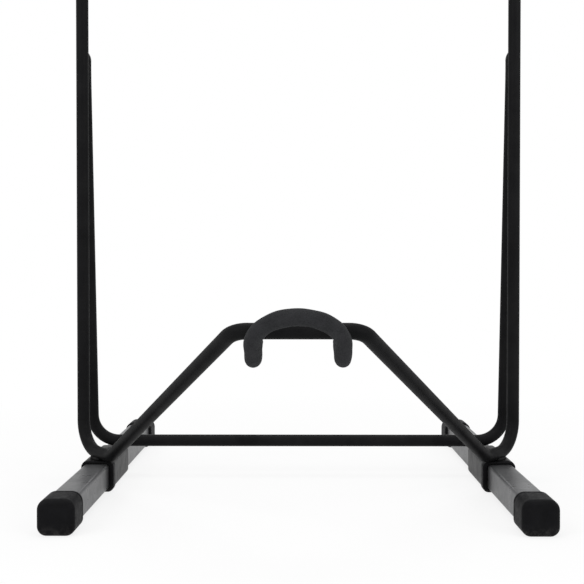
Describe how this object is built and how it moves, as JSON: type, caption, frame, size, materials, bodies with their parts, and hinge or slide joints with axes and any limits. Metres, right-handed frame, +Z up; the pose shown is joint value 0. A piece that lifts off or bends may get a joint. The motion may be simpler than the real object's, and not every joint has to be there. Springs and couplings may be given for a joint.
{
  "type": "freestanding surfboard rack",
  "caption": "Freestanding tube-frame rack that holds a surfboard upright: square foot tubes with rubber end caps, leaning-board top bar with a foam sleeve and a padded tail cradle.",
  "frame": {"origin": "on the floor, midway along the rack's whole width and whole depth", "axes": "+Z up, +X to the right of someone who faces the rack's front, -Y towards the front, where the tail cradle is"},
  "size_m": [0.4588, 0.6014, 0.7013],
  "materials": {
    "black_frame": "satin black powder coat",
    "black_sleeve": "satin black powder coat",
    "grey_tube": "satin mid grey powder coat",
    "cap_rubber": "matte black rubber",
    "foam": "matte dark grey closed-cell foam",
    "plug": "matte black",
    "fastener": "zinc-plated steel"
  },
  "bodies": {
    "root": {"front_hoop": "black_frame", "rear_hoop": "black_frame", "cradle_hook": "black_frame", "cradle_pad": "foam", "top_pad": "foam", "sleeve_left": "black_sleeve", "sleeve_right": "black_sleeve", "foot_tube_left": "grey_tube", "foot_tube_right": "grey_tube", "cap_front_left": "cap_rubber", "cap_front_right": "cap_rubber", "cap_rear_left": "cap_rubber", "cap_rear_right": "cap_rubber", "plug_left": "plug", "plug_right": "plug", "screws_left": "fastener", "screws_right": "fastener", "washers_left": "fastener", "washers_right": "fastener", "weld_nuts_left": "fastener", "weld_nuts_right": "fastener"}
  },
  "joints": []
}
